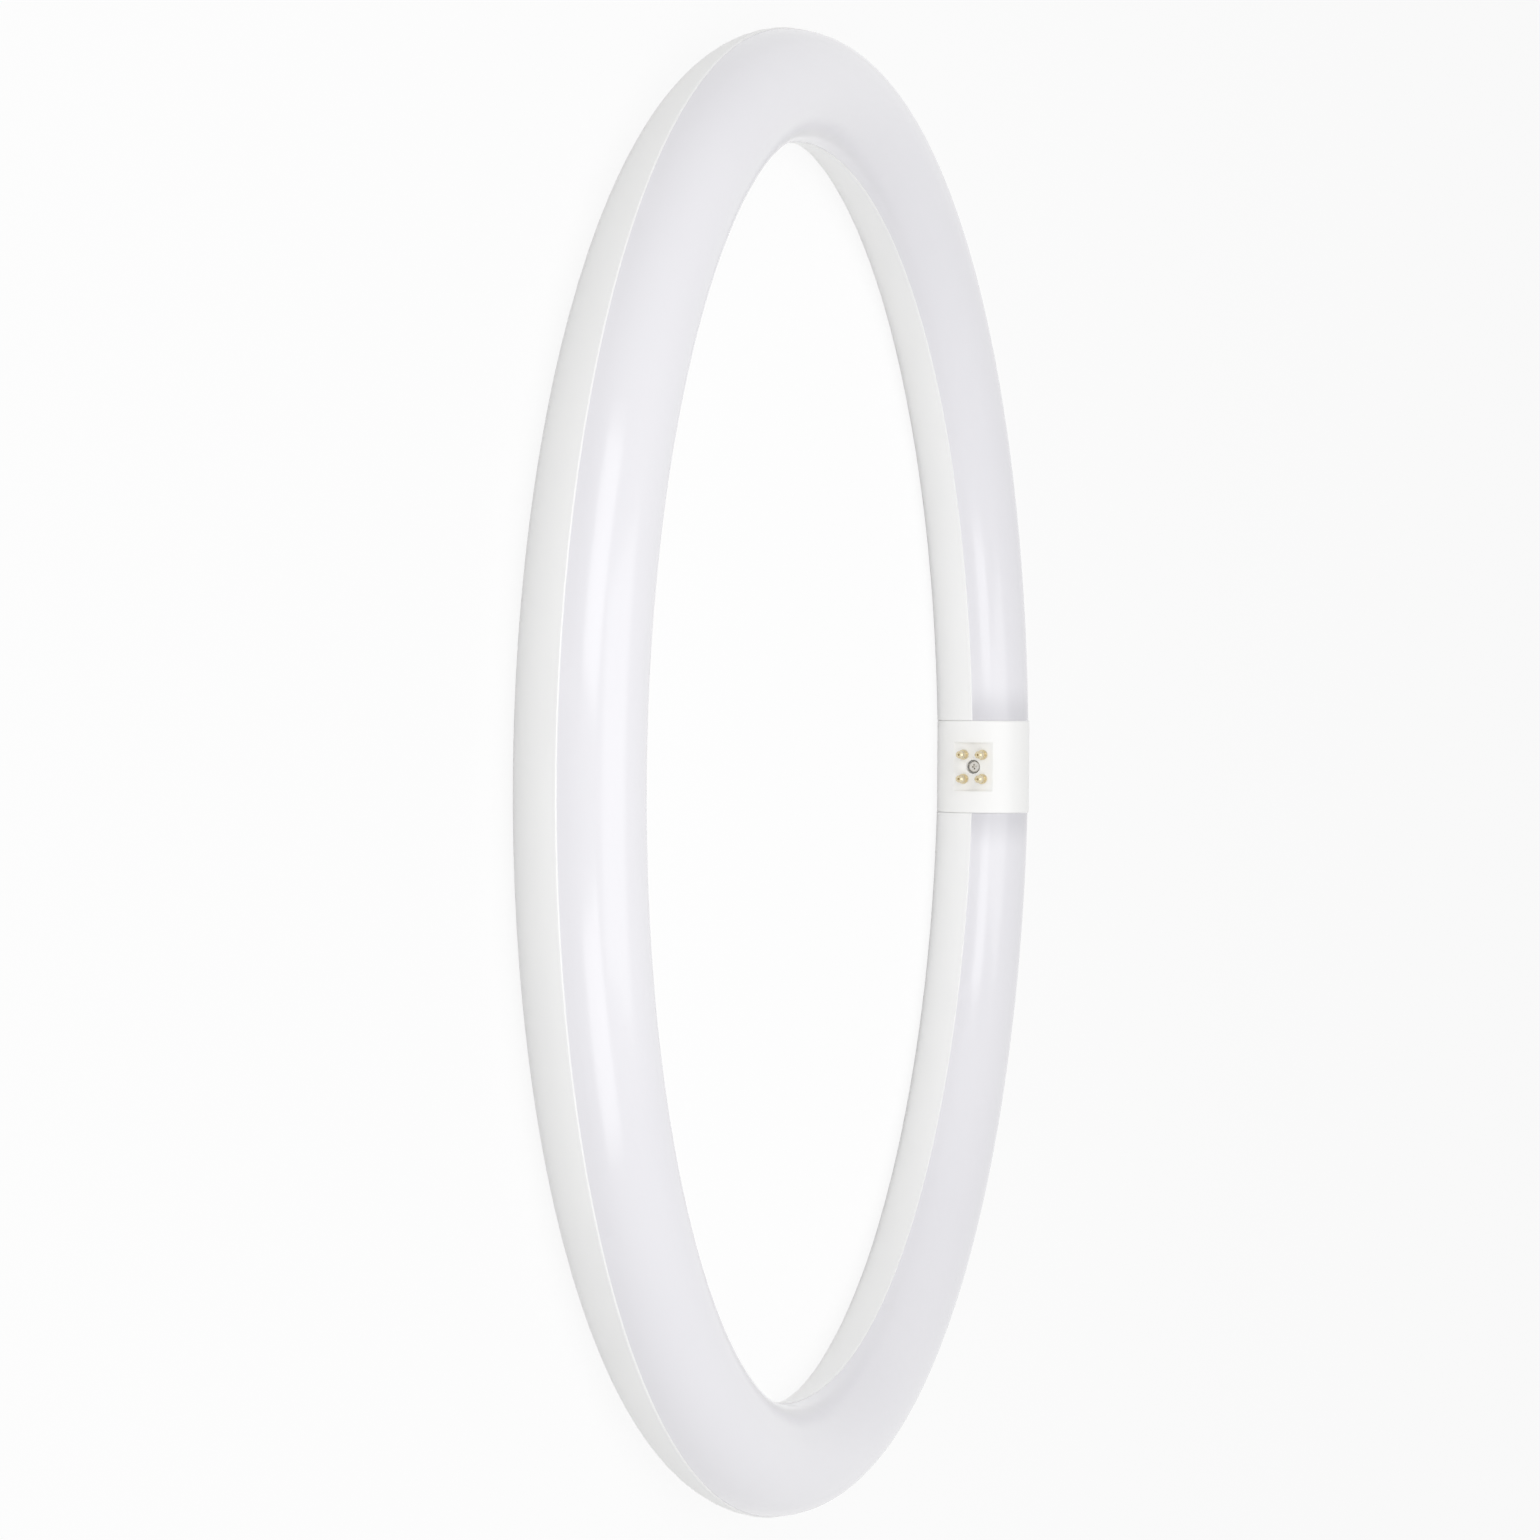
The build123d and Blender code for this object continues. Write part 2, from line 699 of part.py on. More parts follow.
def make_lead(points):
    """Insulated lead along its route."""
    return tube_along(points, arc_radii(points), lead_diameter)


def make_pin_lead(number):
    """Lead from the tail of one pin, past the screw post and through the neck, to its pad."""
    y, z = pin_places()[number]
    tail = plate_inside - pin_boss_length - pin_tail
    on_board = driver_top + lead_diameter / 2
    pad_y = (1.5 - bundle_order[number]) * lead_pitch
    pad = (driver_frame(on_board) * Pos(lead_pad_inset - driver_length / 2, pad_y, 0)).position
    edge = (driver_frame(on_board) * Pos(-driver_length / 2, pad_y, 0)).position
    points = [cap_point(tail, y, z), cap_point(tail - pin_lead_reach, y, z)]
    if y > 0:
        beside_post = math.copysign(post_diameter / 2 + lead_diameter + 2 * lead_gap, z)
        points.append(cap_point(tail - 2 * pin_lead_reach, 0, beside_post))
    points.append(edge)
    points.append(pad)
    return make_lead(points)


def make_led_lead(side):
    """Lead from the far end of the driver board up through the slot to the first LED board."""
    across = side * led_lead_pitch / 2
    on_driver = driver_top + lead_diameter / 2
    on_board = board_top + lead_diameter / 2
    pad_x = driver_length / 2 - lead_pad_inset
    pad = (driver_frame(on_driver) * Pos(pad_x, -across, 0)).position
    slot = ring_point(along_of(slot_turn), across, on_driver)
    above = Vector(slot.X, slot.Y, on_board)
    end = ring_point(along_of(slot_turn), across + side * led_pad_offset, on_board)
    return make_lead([pad, slot, above, end])


cap = make_base_cap()
nodes = {
    "rear_housing": make_rear_housing(),
    "diffuser": make_diffuser(),
    "base_inner_shell": make_base_inner_shell(cap),
    "base_outer_shell": make_base_outer_shell(cap),
    "base_screw": make_base_screw(),
    "led_chips": make_led_chips(),
    "board_connectors": make_board_connectors(),
    "board_screws": make_board_screws(),
    "driver_board": make_driver_board(),
    "driver_screws": make_driver_screws(),
    "fuse": on_driver(make_fuse(), 0, beside_edge(fuse_diameter, -1)),
    "varistor": on_driver(make_varistor(), 0, beside_edge(varistor_thickness, 1)),
    "bridge_rectifier": on_driver(make_bridge_rectifier(), 1, 0),
    "film_capacitor": on_driver(make_film_capacitor(), 2, beside_edge(film_width, -1)),
    "driver_chip": on_driver(make_driver_chip(), 2, beside_edge(chip_package_width + chip_foot_length, 1)),
    "bulk_capacitor": on_driver(make_bulk_capacitor(), 3, beside_edge(part_height, -1)),
    "filter_coil": on_driver(make_filter_coil(), 3, beside_edge(coil_flange_diameter, 1)),
    "power_inductor": on_driver(make_power_inductor(), 4, 0),
    "led_lead_plus": make_led_lead(1),
    "led_lead_minus": make_led_lead(-1),
}
for number in range(board_count):
    nodes[f"led_board_{number + 1}"] = make_led_board(number)
for number, (y, z) in enumerate(pin_places()):
    nodes[f"contact_pin_{number + 1}"] = make_contact_pin(y, z)
    nodes[f"pin_lead_{number + 1}"] = make_pin_lead(number)

# The ring rests on the plane of its lowest points
for name, shape in nodes.items():
    export_step(Pos(0, 0, tube_radius) * shape, f"parts/{name}.step")
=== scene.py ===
import bmesh
import bpy
import json
import math
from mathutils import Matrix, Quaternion, Vector


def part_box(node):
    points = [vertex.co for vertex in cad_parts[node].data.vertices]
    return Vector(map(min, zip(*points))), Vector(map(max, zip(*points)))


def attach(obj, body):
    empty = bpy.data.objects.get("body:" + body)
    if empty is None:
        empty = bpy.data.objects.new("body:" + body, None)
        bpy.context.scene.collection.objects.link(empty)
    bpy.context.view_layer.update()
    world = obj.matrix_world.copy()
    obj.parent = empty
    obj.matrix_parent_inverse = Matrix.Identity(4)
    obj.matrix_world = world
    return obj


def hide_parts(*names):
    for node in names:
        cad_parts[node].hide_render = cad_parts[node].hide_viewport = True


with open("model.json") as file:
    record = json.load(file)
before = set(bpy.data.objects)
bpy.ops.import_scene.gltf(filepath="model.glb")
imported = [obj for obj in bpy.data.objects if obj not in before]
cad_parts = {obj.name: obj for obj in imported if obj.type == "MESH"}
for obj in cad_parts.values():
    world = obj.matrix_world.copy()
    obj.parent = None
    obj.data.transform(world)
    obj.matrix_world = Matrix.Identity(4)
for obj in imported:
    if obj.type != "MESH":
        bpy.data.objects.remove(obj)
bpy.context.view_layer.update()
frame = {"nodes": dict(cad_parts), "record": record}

# Sizes of the lamp, read from the frame, in metres. The housing is the rear half of the
# tube's section, so its height is the tube's radius.
housing_low, housing_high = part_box("rear_housing")
TUBE_RADIUS = housing_high.z - housing_low.z
MID_HEIGHT = housing_low.z + TUBE_RADIUS
RING_RADIUS = housing_high.x - TUBE_RADIUS
CAP_HALF_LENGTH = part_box("base_inner_shell")[1].y

# Camera: it stands on the side across from the base, above the diffuser's side of the ring,
# and is turned a quarter round, so that the ring's axis runs across the picture
CAMERA_PLACE = Vector((0.8890, -0.0131, 0.2819))
CAMERA_AIM = Vector((0.0043, -0.0007, 0.0017))
CAMERA_ROLL = 90.64          # degrees
FOCAL_LENGTH = 77.93         # millimetres, as is the sensor's width
SENSOR_WIDTH = 36.0


def linear(hex_colour):
    """Linear colour from an sRGB hex value."""
    parts = [int(hex_colour[i:i + 2], 16) / 255 for i in (0, 2, 4)]
    return [p / 12.92 if p <= 0.04045 else ((p + 0.055) / 1.055) ** 2.4 for p in parts] + [1.0]


def add_node(tree, kind, settings=None, into=None, out=None):
    """One node. The settings go by name, or by number where names repeat; into links sockets
    to its inputs, and out links its outputs to other nodes' inputs."""
    node = tree.nodes.new(kind)
    for name, value in (settings or {}).items():
        if isinstance(name, int) or name in node.inputs:
            node.inputs[name].default_value = value
        else:
            setattr(node, name, value)
    for name, source in (into or {}).items():
        tree.links.new(source, node.inputs[name])
    for name, target in (out or {}).items():
        tree.links.new(node.outputs[name], target)
    return node


def set_camera():
    """The photograph's view."""
    lens = bpy.data.cameras.new("camera")
    lens.lens = FOCAL_LENGTH
    lens.sensor_width = SENSOR_WIDTH
    lens.clip_start = 0.01
    lens.clip_end = 60
    camera = bpy.data.objects.new("camera", lens)
    bpy.context.scene.collection.objects.link(camera)
    ahead = (CAMERA_AIM - CAMERA_PLACE).normalized()
    level = ahead.to_track_quat("-Z", "Y")
    camera.rotation_mode = "QUATERNION"
    camera.rotation_quaternion = level @ Quaternion((0, 0, 1), math.radians(CAMERA_ROLL))
    camera.location = CAMERA_PLACE
    bpy.context.scene.camera = camera


set_camera()


# Materials. Each pattern's scale comes from a real size in millimetres.

# Sockets of a colour mix, by number: factor, two colours, and the result
FACTOR, FIRST, SECOND, MIXED = 0, 6, 7, 2

# Painted shade on the diffuser beside the cap, in metres: how far the painted grey reaches from the cap, and how
# far from the ring's middle the side with the base begins
CAP_SHADE_REACH = 0.013
BASE_SIDE_BEGIN = 0.8 * RING_RADIUS


def start_material(name, roughness, ior=1.5, metallic=0.0):
    """A material with its node tree, its shader and the object's own coordinates."""
    material = bpy.data.materials.new(name)
    material.use_nodes = True
    tree = material.node_tree
    shader = tree.nodes["Principled BSDF"]
    shader.inputs["Roughness"].default_value = roughness
    shader.inputs["IOR"].default_value = ior
    shader.inputs["Metallic"].default_value = metallic
    place = add_node(tree, "ShaderNodeTexCoord").outputs["Object"]
    return material, tree, shader.inputs, place


def per_size(millimetres):
    """Scale of a texture whose patches are this large, on coordinates in metres."""
    return 1000 / millimetres


def per_wave(millimetres):
    """Scale of a wave texture whose bands are this far apart."""
    return math.pi / 10 * per_size(millimetres)


def two_tone(low, high):
    """Settings of a colour mix between two shades."""
    return {"data_type": "RGBA", FIRST: linear(low), SECOND: linear(high)}


def moulded_white_polycarbonate():
    """Opaque white polycarbonate from a spark-eroded mould: its fine grain spreads the
    highlights, and the white leans a little warm and hardly drifts along the ring. The real
    grain is about a tenth of a millimetre, so it is drawn five times as coarse, to show."""
    material, tree, surface, place = start_material("moulded_white_polycarbonate", 0.44, 1.585)
    drift = add_node(tree, "ShaderNodeTexNoise", {"Scale": per_size(45)}, {"Vector": place})
    grain = add_node(tree, "ShaderNodeTexNoise", {"Scale": per_size(0.5), "Detail": 3.0}, {"Vector": place})
    add_node(tree, "ShaderNodeMix", two_tone("F5F5F5", "FAFAF9"),
             {FACTOR: drift.outputs["Fac"]}, {MIXED: surface["Base Color"]})
    add_node(tree, "ShaderNodeBump", {"Distance": 6e-6},
             {"Height": grain.outputs["Fac"]}, {"Normal": surface["Normal"]})
    return material


def opal_polycarbonate():
    """Opal polycarbonate from a polished mould: a glossy skin on a milky body, a little violet. Slow waves of the
    melt bend its long highlights slightly. Beside the cap it is painted darker grey, a painted shade that stands
    in for the shadow the cap casts there."""
    material, tree, surface, place = start_material("opal_polycarbonate", 0.18, 1.585)
    drift = add_node(tree, "ShaderNodeTexNoise", {"Scale": per_size(60)}, {"Vector": place})
    waves = add_node(tree, "ShaderNodeTexNoise", {"Scale": per_size(9)}, {"Vector": place})
    body = add_node(tree, "ShaderNodeMix", two_tone("E9E8ED", "EEEDF1"), {FACTOR: drift.outputs["Fac"]})
    # Painted shade: close to the cap the body colour is mixed towards the grey DAD9DE, for the shade the cap casts
    # on the diffuser
    along = add_node(tree, "ShaderNodeSeparateXYZ", into={"Vector": place})
    sideways = add_node(tree, "ShaderNodeMath", {"operation": "ABSOLUTE"}, {0: along.outputs["Y"]})
    past_cap = add_node(tree, "ShaderNodeMath", {"operation": "SUBTRACT", 1: CAP_HALF_LENGTH},
                        {0: sideways.outputs[0]})
    off_base = add_node(tree, "ShaderNodeMath", {"operation": "ADD", 1: BASE_SIDE_BEGIN},
                        {0: along.outputs["X"]})
    distance = add_node(tree, "ShaderNodeMath", {"operation": "MAXIMUM"},
                        {0: past_cap.outputs[0], 1: off_base.outputs[0]})
    clear = add_node(tree, "ShaderNodeMapRange", {"interpolation_type": "SMOOTHSTEP", "From Max": CAP_SHADE_REACH},
                     {"Value": distance.outputs[0]})
    add_node(tree, "ShaderNodeMix", {"data_type": "RGBA", FIRST: linear("DAD9DE")},
             {FACTOR: clear.outputs[0], SECOND: body.outputs[MIXED]}, {MIXED: surface["Base Color"]})
    add_node(tree, "ShaderNodeBump", {"Distance": 12e-6},
             {"Height": waves.outputs["Fac"]}, {"Normal": surface["Normal"]})
    return material


def moulded_cap_polycarbonate():
    """The cap's white polycarbonate, injection moulded: cleaner, and finer in grain than the
    housing's, which gives it a tighter sheen. Its grain is drawn coarser than real too."""
    material, tree, surface, place = start_material("moulded_cap_polycarbonate", 0.36, 1.585)
    drift = add_node(tree, "ShaderNodeTexNoise", {"Scale": per_size(20)}, {"Vector": place})
    grain = add_node(tree, "ShaderNodeTexNoise", {"Scale": per_size(0.35), "Detail": 3.0}, {"Vector": place})
    add_node(tree, "ShaderNodeMix", two_tone("F8F8F7", "FBFBFA"),
             {FACTOR: drift.outputs["Fac"]}, {MIXED: surface["Base Color"]})
    add_node(tree, "ShaderNodeBump", {"Distance": 4e-6},
             {"Height": grain.outputs["Fac"]}, {"Normal": surface["Normal"]})
    return material


def turned_brass():
    """Bright turned brass: the tool leaves rings round each pin, drawn coarser than real so
    that they show, and handling dulls the metal in patches."""
    material, tree, surface, place = start_material("turned_brass", 0.24, metallic=1.0)
    tarnish = add_node(tree, "ShaderNodeTexNoise", {"Scale": per_size(1.2)}, {"Vector": place})
    rings = add_node(tree, "ShaderNodeTexWave", {"Scale": per_wave(0.22), "Distortion": 0.4}, {"Vector": place})
    add_node(tree, "ShaderNodeMix", two_tone("D2C4A2", "E6DABB"),
             {FACTOR: tarnish.outputs["Fac"]}, {MIXED: surface["Base Color"]})
    add_node(tree, "ShaderNodeBump", {"Distance": 4e-6},
             {"Height": rings.outputs["Fac"]}, {"Normal": surface["Normal"]})
    return material


def nickel_plated_steel():
    """Nickel electroplated on cold-headed steel: a warm pale grey metal, whose plating blurs
    what it mirrors. Its real grain is a few hundredths of a millimetre, so it is drawn about
    five times as coarse, to show."""
    material, tree, surface, place = start_material("nickel_plated_steel", 0.3, metallic=1.0)
    cloud = add_node(tree, "ShaderNodeTexNoise", {"Scale": per_size(0.8)}, {"Vector": place})
    plating = add_node(tree, "ShaderNodeTexNoise", {"Scale": per_size(0.2), "Detail": 4.0}, {"Vector": place})
    add_node(tree, "ShaderNodeMix", two_tone("CECBC5", "E6E3DD"),
             {FACTOR: cloud.outputs["Fac"]}, {MIXED: surface["Base Color"]})
    add_node(tree, "ShaderNodeBump", {"Distance": 3e-6},
             {"Height": plating.outputs["Fac"]}, {"Normal": surface["Normal"]})
    return material


def white_solder_mask():
    """White mask on a metal-core board: flat and slightly chalky, with a fine orange peel."""
    material, tree, surface, place = start_material("white_solder_mask", 0.5)
    drift = add_node(tree, "ShaderNodeTexNoise", {"Scale": per_size(12)}, {"Vector": place})
    peel = add_node(tree, "ShaderNodeTexNoise", {"Scale": per_size(0.6)}, {"Vector": place})
    add_node(tree, "ShaderNodeMix", two_tone("ECECE6", "F3F3EF"),
             {FACTOR: drift.outputs["Fac"]}, {MIXED: surface["Base Color"]})
    add_node(tree, "ShaderNodeBump", {"Distance": 8e-6},
             {"Height": peel.outputs["Fac"]}, {"Normal": surface["Normal"]})
    return material


def phosphor_in_white_package():
    """LED package: a yellow phosphor gel on its top, and a white moulded frame round it."""
    material, tree, surface, place = start_material("phosphor_in_white_package", 0.35)
    facing = add_node(tree, "ShaderNodeNewGeometry").outputs["Normal"]
    upward = add_node(tree, "ShaderNodeSeparateXYZ", into={"Vector": facing})
    gel = add_node(tree, "ShaderNodeTexNoise", {"Scale": per_size(0.3)}, {"Vector": place})
    add_node(tree, "ShaderNodeMix", two_tone("F1F0EA", "E7C94C"),
             {FACTOR: upward.outputs["Z"]}, {MIXED: surface["Base Color"]})
    add_node(tree, "ShaderNodeBump", {"Distance": 10e-6},
             {"Height": gel.outputs["Fac"]}, {"Normal": surface["Normal"]})
    return material


def green_glass_laminate():
    """Driver board: green mask over copper tracks, which show as paler raised lines."""
    material, tree, surface, place = start_material("green_glass_laminate", 0.38)
    tracks = add_node(tree, "ShaderNodeTexBrick", {
        "Scale": 1.0, "Mortar Size": 0.0005, "Brick Width": 0.007, "Row Height": 0.0022}, {"Vector": place})
    add_node(tree, "ShaderNodeMix", two_tone("1E6A3B", "2F8550"),
             {FACTOR: tracks.outputs["Fac"]}, {MIXED: surface["Base Color"]})
    add_node(tree, "ShaderNodeBump", {"Distance": 40e-6},
             {"Height": tracks.outputs["Fac"]}, {"Normal": surface["Normal"]})
    return material


def mottled_finish(name, low, high, roughness, patch, grain_size, depth):
    """Plain family for the small parts inside: a body that drifts between two shades in
    patches, and a skin with grain of the given size and depth, all in millimetres."""
    material, tree, surface, place = start_material(name, roughness)
    drift = add_node(tree, "ShaderNodeTexNoise", {"Scale": per_size(patch)}, {"Vector": place})
    grain = add_node(tree, "ShaderNodeTexNoise", {"Scale": per_size(grain_size), "Detail": 3.0}, {"Vector": place})
    add_node(tree, "ShaderNodeMix", two_tone(low, high),
             {FACTOR: drift.outputs["Fac"]}, {MIXED: surface["Base Color"]})
    add_node(tree, "ShaderNodeBump", {"Distance": depth / 1000},
             {"Height": grain.outputs["Fac"]}, {"Normal": surface["Normal"]})
    return material


finishes = {
    "housing_plastic": moulded_white_polycarbonate(),
    "diffuser_plastic": opal_polycarbonate(),
    "base_plastic": moulded_cap_polycarbonate(),
    "screw_steel": nickel_plated_steel(),
    "pin_brass": turned_brass(),
    "led_board_metal": white_solder_mask(),
    "led_package": phosphor_in_white_package(),
    "circuit_board": green_glass_laminate(),
    # Injection-moulded nylon: creamy white, with a fine satin grain
    "connector_plastic": mottled_finish("moulded_white_nylon", "E8E6DC", "EFEDE4", 0.4, 3, 0.15, 0.01),
    # Dipped lacquer: green and glossy, with the uneven skin of a drop that dried
    "fuse_coating": mottled_finish("green_dipped_lacquer", "3F7357", "4F8A69", 0.22, 2.5, 1.6, 0.06),
    # Dipped epoxy: blue and glossy, as uneven as the lacquer
    "varistor_coating": mottled_finish("blue_dipped_epoxy", "25518F", "3467AC", 0.22, 2.5, 1.6, 0.06),
    # Transfer-moulded epoxy: black, and matt from its mould's grain
    "chip_resin": mottled_finish("black_moulded_epoxy", "161617", "232325", 0.55, 3, 0.15, 0.01),
    # Moulded polyester box: strong yellow, satin
    "film_capacitor_case": mottled_finish("yellow_polyester_case", "C1942A", "D2A73C", 0.4, 3, 0.15, 0.01),
    # Heat-shrunk sleeve: black and glossy, with shallow ripples where it drew tight
    "capacitor_sleeve": mottled_finish("black_shrunk_sleeve", "17171B", "24242A", 0.28, 4, 2.5, 0.04),
    # Pressed and fired ferrite: nearly black, matt and pitted
    "ferrite": mottled_finish("fired_ferrite", "2C2C2F", "3E3E42", 0.62, 0.8, 0.25, 0.03),
    # Drawn silicone and vinyl insulation: a soft gloss, with long faint waves
    "lead_white": mottled_finish("white_silicone_insulation", "E6E5DF", "F0EFEA", 0.34, 5, 1.2, 0.015),
    "lead_red": mottled_finish("red_vinyl_insulation", "A5211A", "BE2E25", 0.34, 5, 1.2, 0.015),
    "lead_black": mottled_finish("black_vinyl_insulation", "141415", "202022", 0.34, 5, 1.2, 0.015),
}


def dress_nodes():
    """Gives each CAD node the finish of its slot."""
    for part in frame["record"]["subparts"]:
        for place in frame["nodes"][part["node"]].material_slots:
            place.material = finishes[part["material_slot"]]


dress_nodes()


# Clamp screw of the base, in metres. Its shape in the frame is plain; here its head is
# slightly domed, with a tapered cross recess and broken edges.

SCREW_HEAD_SIDES = 48
SCREW_HEAD_HEIGHT = 0.0015
SCREW_DOME = 0.0004
SCREW_SHANK_RADIUS = 0.00125
CROSS_LENGTH = 0.0024
CROSS_WIDTH = 0.00062
CROSS_DEPTH = 0.0010
CROSS_TAPER = 0.45
CROSS_TURN = 8               # degrees, as the screw was left when it was driven in
EDGE_BREAK = 0.00006
HIT = 1e-5                   # how near to a plane counts as on it


def pick(piece, kind, test):
    """In edit mode, selects only the faces or edges all of whose corners pass a test."""
    bpy.ops.mesh.select_mode(type=kind)
    mesh = bmesh.from_edit_mesh(piece.data)
    for part in (mesh.verts, mesh.edges, mesh.faces):
        for item in part:
            item.select = False
    for item in mesh.faces if kind == "FACE" else mesh.edges:
        item.select_set(all(test(corner.co) for corner in item.verts))
    mesh.select_flush_mode()
    bmesh.update_edit_mesh(piece.data)


def make_cross_arm(top, middle, turn):
    """One arm of the recess's cutter: a bar that narrows towards the bottom of the recess."""
    bpy.ops.object.select_all(action="DESELECT")
    bpy.ops.mesh.primitive_cube_add(size=1, location=(top, middle.y, middle.z), rotation=(turn, 0, 0),
                                    scale=(2 * CROSS_DEPTH, CROSS_WIDTH, CROSS_LENGTH))
    arm = bpy.context.object
    bpy.ops.object.transform_apply(location=True, rotation=True, scale=True)
    bpy.ops.object.mode_set(mode="EDIT")
    pick(arm, "FACE", lambda corner: corner.x < top - CROSS_DEPTH / 2)
    bpy.ops.transform.resize(value=(1, CROSS_TAPER, CROSS_TAPER), center_override=(top, middle.y, middle.z))
    bpy.ops.object.mode_set(mode="OBJECT")
    return arm


def make_clamp_screw():
    """Domed cross-head screw, in the sunk seat between the pins."""
    low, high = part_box("base_screw")
    middle = (low + high) / 2
    radius = (high.y - low.y) / 2
    seat = high.x - SCREW_HEAD_HEIGHT
    bpy.ops.object.select_all(action="DESELECT")
    bpy.ops.mesh.primitive_cylinder_add(
        vertices=SCREW_HEAD_SIDES, radius=radius, depth=SCREW_HEAD_HEIGHT, rotation=(0, math.pi / 2, 0),
        location=(high.x - SCREW_HEAD_HEIGHT / 2, middle.y, middle.z))
    screw = bpy.context.object
    screw.name = "clamp_screw"
    bpy.ops.object.transform_apply(location=True, rotation=True, scale=True)
    bpy.ops.object.mode_set(mode="EDIT")
    pick(screw, "EDGE", lambda corner: corner.x > high.x - HIT)
    bpy.ops.mesh.bevel(offset=SCREW_DOME, segments=6, affect="EDGES")
    pick(screw, "FACE", lambda corner: corner.x < seat + HIT)
    bpy.ops.mesh.inset(thickness=radius - SCREW_SHANK_RADIUS)
    bpy.ops.mesh.extrude_region_move(TRANSFORM_OT_translate={"value": (low.x - seat, 0, 0)})
    pick(screw, "EDGE", lambda corner: corner.x < low.x + HIT)
    bpy.ops.mesh.bevel(offset=SCREW_SHANK_RADIUS / 2, segments=1, affect="EDGES")
    bpy.ops.object.mode_set(mode="OBJECT")
    for turn in (CROSS_TURN, CROSS_TURN + 90):
        arm = make_cross_arm(high.x, middle, math.radians(turn))
        bpy.ops.object.select_all(action="DESELECT")
        bpy.context.view_layer.objects.active = screw
        screw.select_set(True)
        cut = screw.modifiers.new("recess", "BOOLEAN")
        cut.operation = "DIFFERENCE"
        cut.object = arm
        bpy.ops.object.modifier_apply(modifier=cut.name)
        bpy.data.objects.remove(arm)
    edges = screw.modifiers.new("broken_edges", "BEVEL")
    edges.width = EDGE_BREAK
    edges.segments = 2
    edges.limit_method = "ANGLE"
    edges.angle_limit = math.radians(40)
    bpy.ops.object.modifier_apply(modifier=edges.name)
    bpy.ops.object.shade_smooth_by_angle(angle=math.radians(35))
    screw.data.materials.clear()
    screw.data.materials.append(finishes["screw_steel"])
    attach(screw, "root")
    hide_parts("base_screw")


make_clamp_screw()


# Stage: floor, world and lamps

FLOOR_HALF = 14.0            # metres
CARD_WHITE = "FBFBFB"
PAPER_WHITE = "E6E6E6"
FLOOR_GLOW = 0.9             # share of plain white that the camera sees in the floor
SKY_FILL = 0.57


def seen_or_mirrored(tree, *outputs):
    """1 where a ray comes from the camera or from the named kinds of reflection."""
    path = add_node(tree, "ShaderNodeLightPath")
    amount = path.outputs["Is Camera Ray"]
    for output in outputs:
        larger = add_node(tree, "ShaderNodeMath", {"operation": "MAXIMUM"}, {0: amount, 1: path.outputs[output]})
        amount = larger.outputs[0]
    return amount


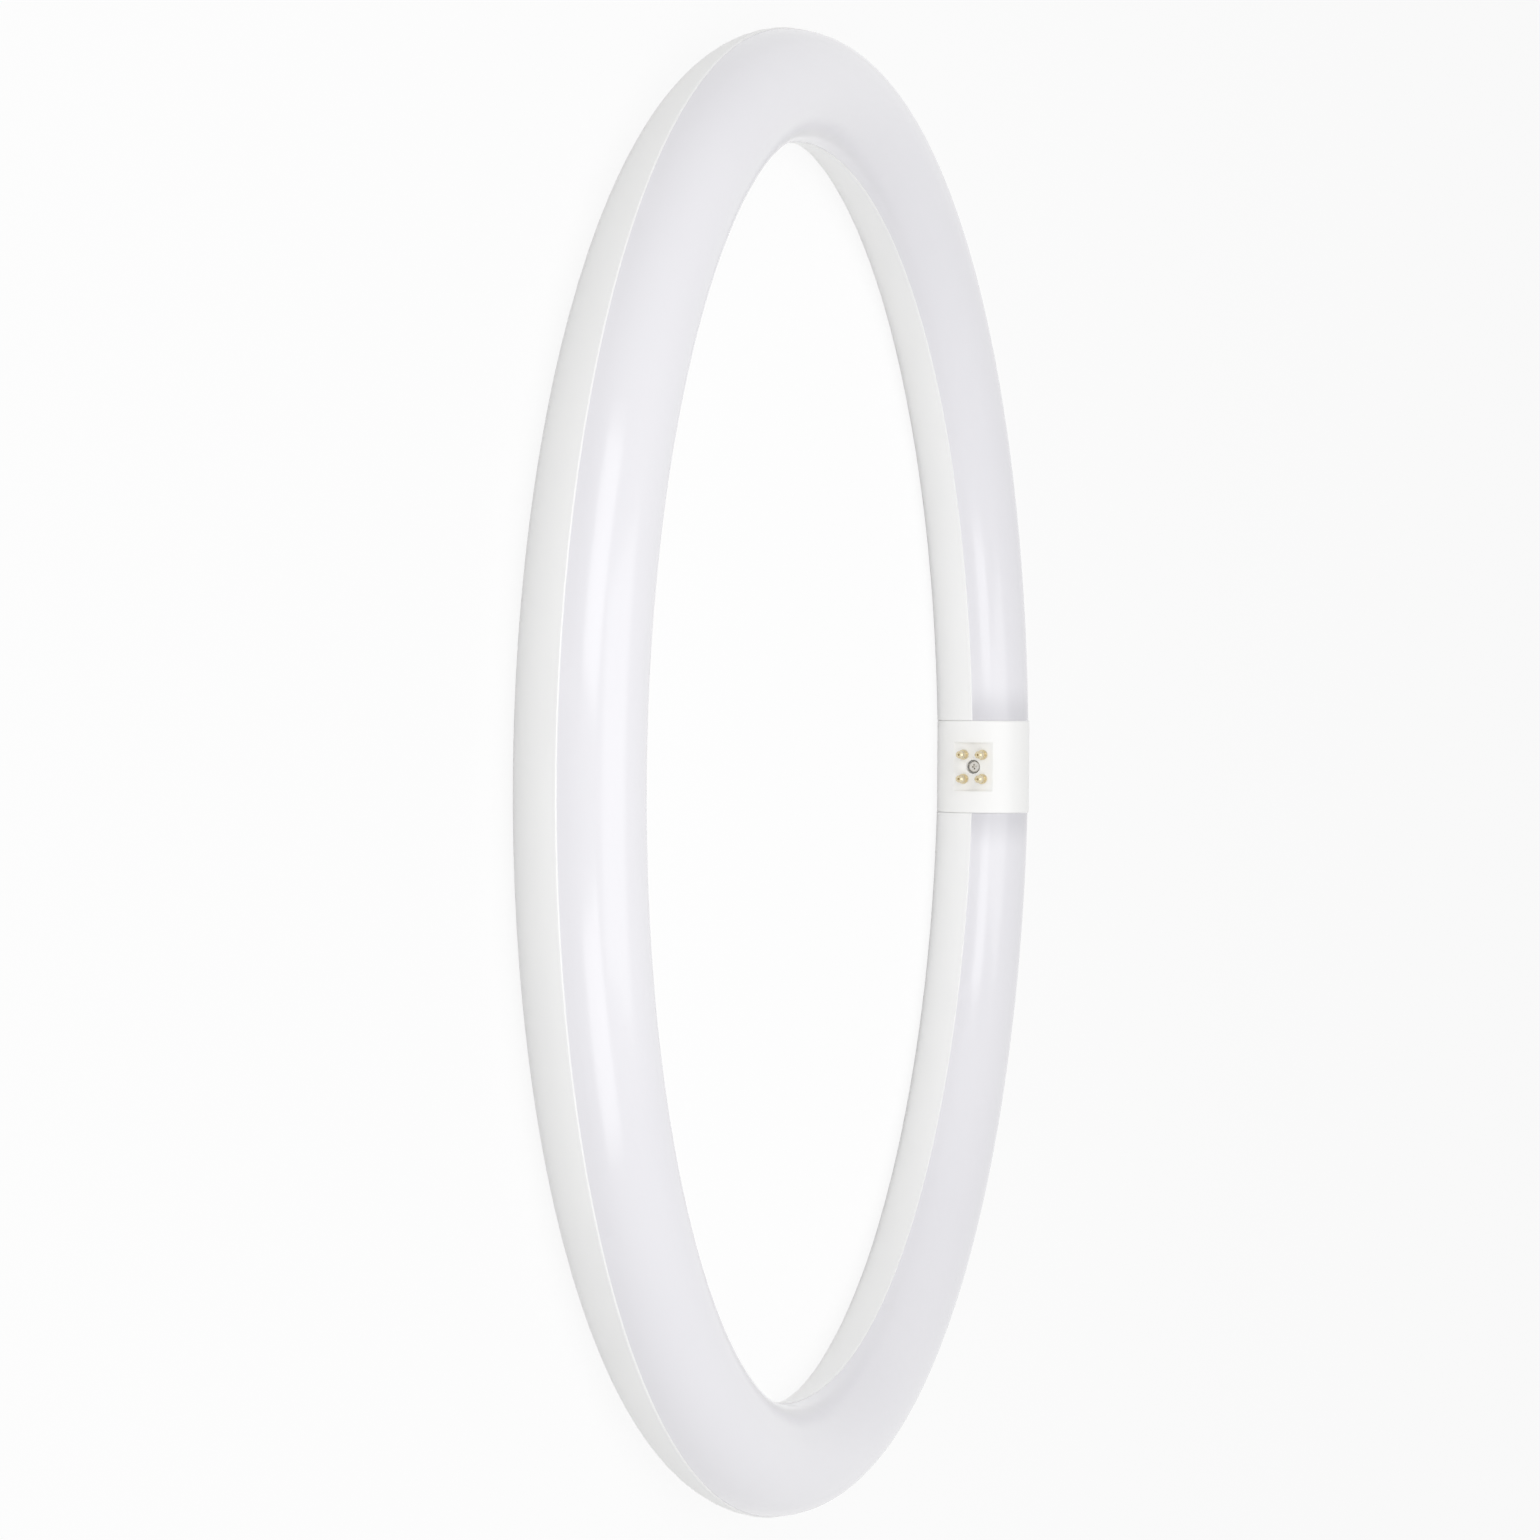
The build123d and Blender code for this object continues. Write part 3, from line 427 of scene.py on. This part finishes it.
def make_floor():
    """Pale paper floor, with a whiter card inside the ring that lifts the ring's inner side.
    Camera rays see most of it as plain white, and the rest as lit paper, so that it reads as
    a white ground and still keeps the ring's shadow."""
    bpy.ops.object.select_all(action="DESELECT")
    bpy.ops.mesh.primitive_plane_add(size=2 * FLOOR_HALF)
    floor = bpy.context.object
    floor.name = "floor"
    paper = bpy.data.materials.new("white_paper_ground")
    paper.use_nodes = True
    tree = paper.node_tree
    tree.nodes.clear()
    place = add_node(tree, "ShaderNodeTexCoord").outputs["Object"]
    radius = add_node(tree, "ShaderNodeVectorMath", {"operation": "LENGTH"}, {0: place})
    outside = add_node(tree, "ShaderNodeMapRange", {
        "interpolation_type": "SMOOTHSTEP", "From Min": RING_RADIUS - TUBE_RADIUS,
        "From Max": RING_RADIUS + 2 * TUBE_RADIUS}, {"Value": radius.outputs["Value"]})
    paper_tone = add_node(tree, "ShaderNodeMix", two_tone(CARD_WHITE, PAPER_WHITE), {FACTOR: outside.outputs[0]})
    matt = add_node(tree, "ShaderNodeBsdfDiffuse", into={"Color": paper_tone.outputs[MIXED]})
    glow = add_node(tree, "ShaderNodeEmission", {"Strength": 1.0})
    shown = seen_or_mirrored(tree, "Is Glossy Ray")
    share = add_node(tree, "ShaderNodeMath", {"operation": "MULTIPLY", 1: FLOOR_GLOW}, {0: shown})
    both = add_node(tree, "ShaderNodeMixShader", into={
        0: share.outputs[0], 1: matt.outputs[0], 2: glow.outputs[0]})
    add_node(tree, "ShaderNodeOutputMaterial", into={"Surface": both.outputs[0]})
    floor.data.materials.append(paper)


def set_world():
    """White sky where it is seen or mirrored, and a plain soft fill on everything else."""
    world = bpy.data.worlds.new("studio")
    bpy.context.scene.world = world
    world.use_nodes = True
    tree = world.node_tree
    tree.nodes.clear()
    white = (1.0, 1.0, 1.0, 1.0)
    fill = add_node(tree, "ShaderNodeBackground", {"Color": white, "Strength": SKY_FILL})
    bright = add_node(tree, "ShaderNodeBackground", {"Color": white, "Strength": 1.0})
    shown = seen_or_mirrored(tree, "Is Glossy Ray", "Is Transmission Ray")
    choice = add_node(tree, "ShaderNodeMixShader", into={0: shown, 1: fill.outputs[0], 2: bright.outputs[0]})
    add_node(tree, "ShaderNodeOutputWorld", into={"Surface": choice.outputs[0]})


def add_softbox(name, azimuth, elevation, distance, width, height, power):
    """Rectangular soft lamp that faces the ring's middle: angles in degrees, sizes in metres,
    power in watts. Azimuth 0 is the camera's side."""
    lamp = bpy.data.lights.new(name, "AREA")
    lamp.shape = "RECTANGLE"
    lamp.size = width
    lamp.size_y = height
    lamp.energy = power
    box = bpy.data.objects.new(name, lamp)
    bpy.context.scene.collection.objects.link(box)
    turn, rise = math.radians(azimuth), math.radians(elevation)
    away = Vector((math.cos(rise) * math.cos(turn), math.cos(rise) * math.sin(turn), math.sin(rise)))
    box.location = Vector((0, 0, MID_HEIGHT)) + away * distance
    box.rotation_mode = "QUATERNION"
    box.rotation_quaternion = (-away).to_track_quat("-Z", "Y")


make_floor()
set_world()
add_softbox("softbox_left", azimuth=36, elevation=28, distance=1.45, width=0.85, height=0.65, power=3.05)
add_softbox("softbox_right", azimuth=-31, elevation=28, distance=1.45, width=0.9, height=0.65, power=3.55)
add_softbox("softbox_above", azimuth=0, elevation=70, distance=0.85, width=0.7, height=0.7, power=1.6)
bpy.context.scene.view_settings.view_transform = "Standard"
